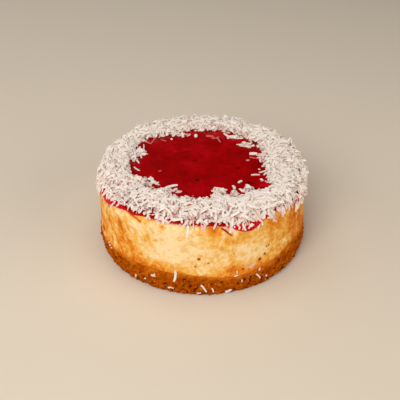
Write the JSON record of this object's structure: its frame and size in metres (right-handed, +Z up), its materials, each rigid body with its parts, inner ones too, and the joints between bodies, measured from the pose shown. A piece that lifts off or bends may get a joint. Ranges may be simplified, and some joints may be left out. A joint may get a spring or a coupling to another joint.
{
  "type": "baked cheesecake",
  "caption": "Round whole baked cheesecake on a biscuit crumb base, glazed with red jam and ringed with shredded coconut.",
  "frame": {"origin": "middle of the flat underside", "axes": "+Z up through the cake, -Y towards its front"},
  "size_m": [0.164, 0.1624, 0.0684],
  "materials": {
    "biscuit_crumb": "rough crumbly biscuit",
    "baked_filling": "smooth baked, lightly browned",
    "red_jam": "wet gloss",
    "shredded_coconut": "dry, slightly fibrous"
  },
  "bodies": {
    "root": {"crumb_base": "biscuit_crumb", "filling": "baked_filling", "jam": "red_jam", "coconut_ring": "shredded_coconut"}
  },
  "joints": []
}
